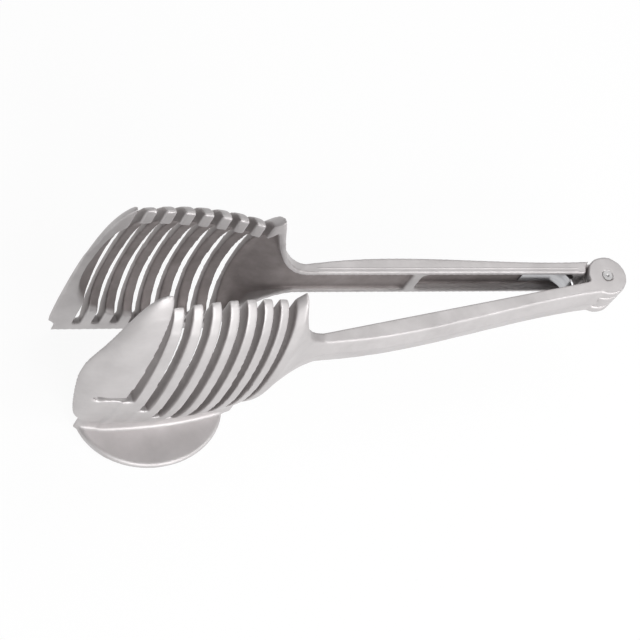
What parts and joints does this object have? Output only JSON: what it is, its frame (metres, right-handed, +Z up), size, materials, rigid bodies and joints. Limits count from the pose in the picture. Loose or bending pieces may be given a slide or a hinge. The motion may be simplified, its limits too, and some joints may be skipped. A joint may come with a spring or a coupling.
{
  "type": "slicing tongs",
  "caption": "Hinged kitchen tongs with slotted half-cups that hold a boiled egg for slicing, a half-oval foot plate and a leaf spring that holds them open.",
  "frame": {"origin": "middle of the foot plate's straight side, on the sole", "axes": "+X from the cups to the hinge, +Y from the front half to the rear half, +Z up along the hinge axis"},
  "size_m": [0.2286, 0.0686, 0.1001],
  "materials": {
    "cast_aluminium": "satin",
    "pin_steel": "satin",
    "spring_steel": "satin"
  },
  "bodies": {
    "front_half": {"front_foot": "cast_aluminium", "front_tip": "cast_aluminium", "front_fin_1": "cast_aluminium", "front_fin_2": "cast_aluminium", "front_fin_3": "cast_aluminium", "front_fin_4": "cast_aluminium", "front_fin_5": "cast_aluminium", "front_fin_6": "cast_aluminium", "front_fin_7": "cast_aluminium", "front_heel": "cast_aluminium", "front_arm": "cast_aluminium", "hinge_pin": "pin_steel", "leaf_spring": "spring_steel"},
    "rear_half": {"rear_keel": "cast_aluminium", "rear_tip": "cast_aluminium", "rear_fin_1": "cast_aluminium", "rear_fin_2": "cast_aluminium", "rear_fin_3": "cast_aluminium", "rear_fin_4": "cast_aluminium", "rear_fin_5": "cast_aluminium", "rear_fin_6": "cast_aluminium", "rear_fin_7": "cast_aluminium", "rear_heel": "cast_aluminium", "rear_arm": "cast_aluminium"}
  },
  "joints": [
    {"name": "hinge", "type": "hinge", "parent": "front_half", "child": "rear_half", "pos_m": [0.1797, 0, 0.035], "axis": [0, 0, 1], "range_deg": [0, 10.3], "stiffness_Nm_per_rad": 2, "springref_deg": -3.44, "deforming": ["leaf_spring"]}
  ]
}
